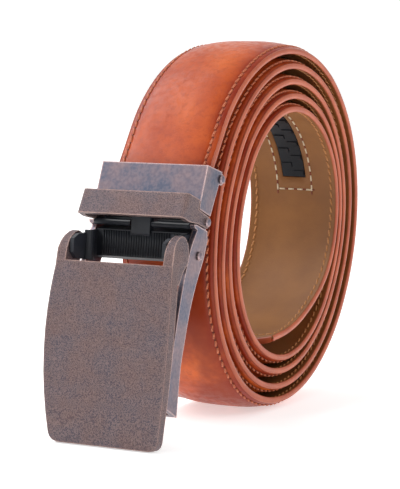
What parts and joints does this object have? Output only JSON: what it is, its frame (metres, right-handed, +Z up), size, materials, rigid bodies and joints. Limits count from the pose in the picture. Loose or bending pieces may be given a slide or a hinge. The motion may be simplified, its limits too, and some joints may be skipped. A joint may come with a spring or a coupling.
{
  "type": "ratchet belt",
  "caption": "Padded leather strap wound into a standing coil, its cut end in a riveted clamp with a plain automatic buckle hanging in front.",
  "frame": {"origin": "centre of the footprint, on the plane that the coil and the cover's lower edge stand on", "axes": "+X across the strap's width, along the coil's axis; -Y towards the buckle; +Z up"},
  "size_m": [0.0484, 0.1612, 0.1338],
  "materials": {
    "leather": "smooth semi-gloss cognac leather, padded",
    "lining": "matt tan lining",
    "track": "black nylon",
    "gunmetal": "smooth plated alloy with a pink-grey tint",
    "antique_copper": "antique copper with a fine brushed grain",
    "black_metal": "black, satin"
  },
  "bodies": {
    "strap": {"strap_outer": "leather", "strap_lining": "lining", "ratchet_track": "track", "clamp_box": "gunmetal", "clamp_jaw": "gunmetal", "jaw_pin": "gunmetal"},
    "frame": {"side_frame": "gunmetal", "loop_bar": "antique_copper", "hinge_pin": "gunmetal", "strap_guide_left": "black_metal", "strap_guide_right": "black_metal", "lever_pin": "gunmetal"},
    "lever": {"cover": "antique_copper", "lever_housing": "black_metal"}
  },
  "joints": [
    {"name": "frame_swing", "type": "hinge", "parent": "strap", "child": "frame", "pos_m": [0, -0.04594, 0.07353], "axis": [1, 0, 0], "range_deg": [0, 20]},
    {"name": "cover_lift", "type": "hinge", "parent": "frame", "child": "lever", "pos_m": [0, -0.05152, 0.06267], "axis": [-1, 0, 0], "range_deg": [0, 20], "stiffness_Nm_per_rad": 0.1, "springref_deg": -11.46}
  ]
}
